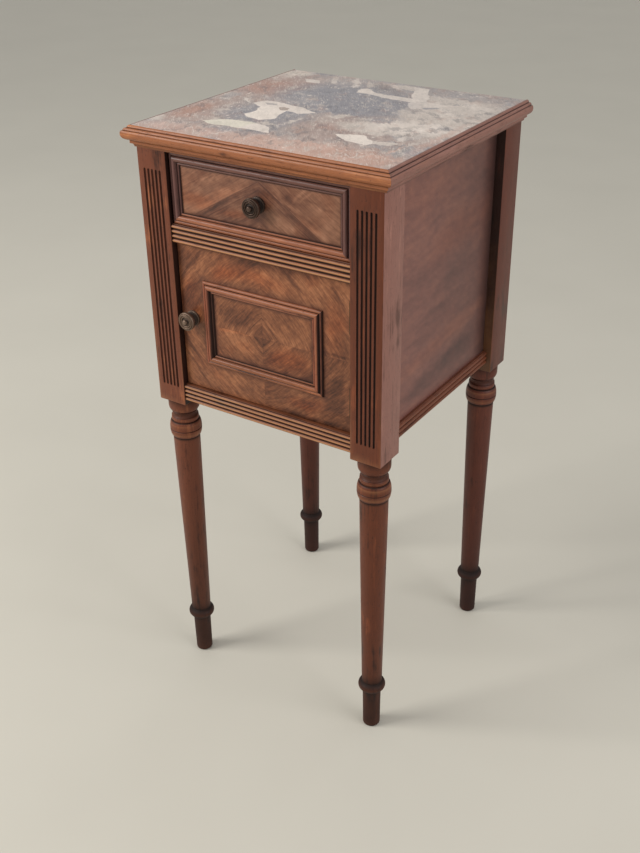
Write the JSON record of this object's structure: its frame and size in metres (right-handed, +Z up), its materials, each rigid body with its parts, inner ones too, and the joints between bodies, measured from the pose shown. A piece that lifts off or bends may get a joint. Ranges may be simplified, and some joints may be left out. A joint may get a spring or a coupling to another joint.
{
  "type": "bedside cabinet",
  "caption": "Small square cabinet with a marble top in a moulded wooden frame, a drawer over a cupboard door, fluted front posts, reeded rails and tall turned legs.",
  "frame": {"origin": "on the floor, under the centre of the bounding box at rest", "axes": "+Z up, -Y out of the front with the drawer and door, +X to the right seen from the front"},
  "size_m": [0.3874, 0.37, 0.84],
  "materials": {
    "walnut": "satin french polish",
    "front_veneer": "satin polished figured veneer",
    "side_veneer": "satin polished veneer",
    "inner_wood": "planed, unpolished",
    "marble": "honed, worn polish",
    "drawer_bronze": "dark worn patina",
    "door_bronze": "grey worn patina",
    "brass_fittings": "dull brass"
  },
  "bodies": {
    "carcase": {"leg_front_left": "walnut", "leg_front_right": "walnut", "leg_back_left": "walnut", "leg_back_right": "walnut", "middle_rail": "walnut", "bottom_rail": "walnut", "partition_board": "inner_wood", "cupboard_floor": "inner_wood", "back_panel": "inner_wood", "back_top_rail": "walnut", "back_bottom_rail": "walnut", "side_panel_left": "side_veneer", "side_panel_right": "side_veneer", "side_rail_left": "walnut", "side_rail_right": "walnut", "drawer_guide_left": "inner_wood", "drawer_guide_right": "inner_wood", "drawer_stop_left": "inner_wood", "drawer_stop_right": "inner_wood", "marble_top": "marble", "top_board": "inner_wood", "top_moulding_front": "walnut", "top_moulding_right": "walnut", "top_moulding_left": "walnut", "door_stop": "inner_wood", "catch_plate": "brass_fittings", "hinge_lower_post_leaf": "brass_fittings", "hinge_lower_pin": "brass_fittings", "hinge_upper_post_leaf": "brass_fittings", "hinge_upper_pin": "brass_fittings"},
    "drawer": {"drawer_front": "front_veneer", "drawer_moulding_bottom": "walnut", "drawer_moulding_left": "walnut", "drawer_moulding_top": "walnut", "drawer_moulding_right": "walnut", "drawer_side_left": "inner_wood", "drawer_side_right": "inner_wood", "drawer_back": "inner_wood", "drawer_bottom": "inner_wood", "drawer_knob": "drawer_bronze", "drawer_knob_nut": "brass_fittings"},
    "door": {"door_panel": "front_veneer", "door_moulding_bottom": "walnut", "door_moulding_left": "walnut", "door_moulding_top": "walnut", "door_moulding_right": "walnut", "door_knob": "door_bronze", "door_knob_nut": "brass_fittings", "catch_barrel": "brass_fittings", "hinge_lower_door_leaf": "brass_fittings", "hinge_upper_door_leaf": "brass_fittings"}
  },
  "joints": [
    {"name": "drawer_slide", "type": "slide", "parent": "carcase", "child": "drawer", "axis": [0, -1, 0], "range_m": [0, 0.22]},
    {"name": "door_hinge", "type": "hinge", "parent": "carcase", "child": "door", "pos_m": [0.1319, -0.1667, 0.5925], "axis": [0, 0, 1], "range_deg": [0, 110]}
  ]
}
